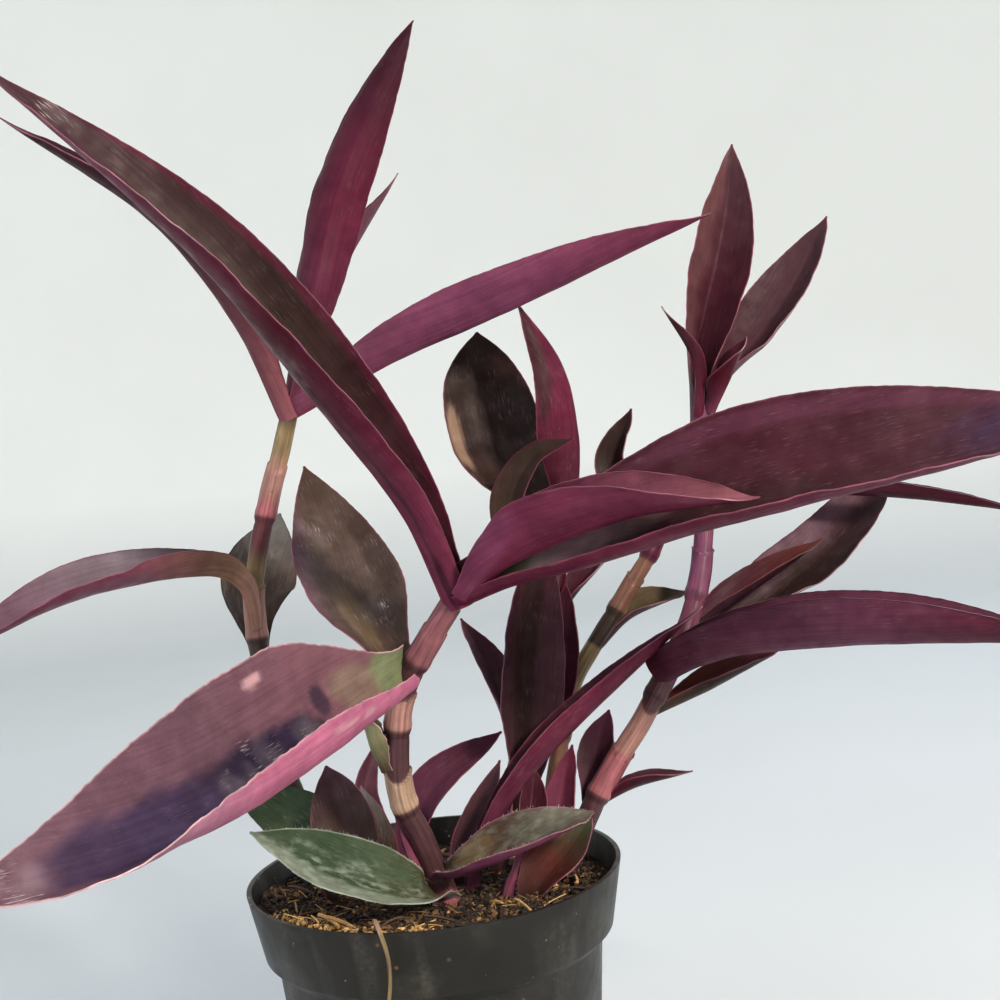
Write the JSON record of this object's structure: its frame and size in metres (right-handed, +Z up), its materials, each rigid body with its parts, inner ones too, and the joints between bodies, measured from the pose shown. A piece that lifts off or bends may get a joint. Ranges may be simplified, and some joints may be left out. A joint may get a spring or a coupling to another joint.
{
  "type": "potted purple heart plant",
  "caption": "Leafy purple heart plant with long folded pointed leaves on jointed stems, rooted in soil in a small round plastic nursery pot.",
  "frame": {"origin": "centre of the pot's flat foot, on the surface that the pot stands on", "axes": "+Z up along the pot's axis; +X to the plant's right and +Y to its back as the picture sees it"},
  "size_m": [0.2995, 0.2041, 0.3234],
  "materials": {
    "plum_leaf": "satin",
    "magenta_leaf": "satin",
    "dark_leaf": "satin",
    "grey_green_leaf": "matte",
    "green_sheath": "satin",
    "pink_stem": "satin",
    "fibre": "matte",
    "peat": "matte",
    "pot_plastic": "matte"
  },
  "bodies": {
    "root": {"front_leaf_low": "plum_leaf", "front_leaf_broad": "dark_leaf", "front_leaf_tall": "plum_leaf", "front_leaf_right": "plum_leaf", "front_leaf_young": "magenta_leaf", "left_leaf_up": "magenta_leaf", "left_leaf_out": "plum_leaf", "left_leaf_across": "magenta_leaf", "left_leaf_top": "magenta_leaf", "left_leaf_inner": "magenta_leaf", "left_leaf_shade": "grey_green_leaf", "low_leaf_back_left": "grey_green_leaf", "low_leaf_plum": "plum_leaf", "low_leaf_slate": "grey_green_leaf", "low_leaf_dark": "plum_leaf", "low_leaf_silver": "grey_green_leaf", "low_leaf_right": "grey_green_leaf", "low_leaf_rose": "magenta_leaf", "middle_leaf_channel": "dark_leaf", "middle_leaf_small": "plum_leaf", "middle_leaf_behind": "dark_leaf", "middle_leaf_round": "dark_leaf", "middle_leaf_top": "magenta_leaf", "middle_leaf_bud": "plum_leaf", "olive_leaf_tip": "dark_leaf", "heart_leaf_long": "magenta_leaf", "heart_leaf_left": "plum_leaf", "heart_leaf_small": "plum_leaf", "heart_leaf_upright": "magenta_leaf", "heart_leaf_low": "dark_leaf", "right_leaf_round": "plum_leaf", "right_leaf_thin": "magenta_leaf", "olive_leaf_right": "dark_leaf", "olive_leaf_left": "plum_leaf", "right_leaf_long": "magenta_leaf", "right_leaf_under": "dark_leaf", "right_leaf_rust": "plum_leaf", "right_leaf_shade": "dark_leaf", "right_leaf_edge": "magenta_leaf", "crown_leaf_tall": "plum_leaf", "crown_leaf_right": "plum_leaf", "crown_leaf_thin": "magenta_leaf", "crown_leaf_small": "magenta_leaf", "front_petiole": "magenta_leaf", "front_sheath": "green_sheath", "front_stem": "pink_stem", "left_stem": "pink_stem", "middle_stem": "pink_stem", "olive_stem": "pink_stem", "right_stem": "pink_stem", "young_stem": "pink_stem", "root_fibre": "fibre", "soil": "peat", "pot": "pot_plastic"}
  },
  "joints": []
}
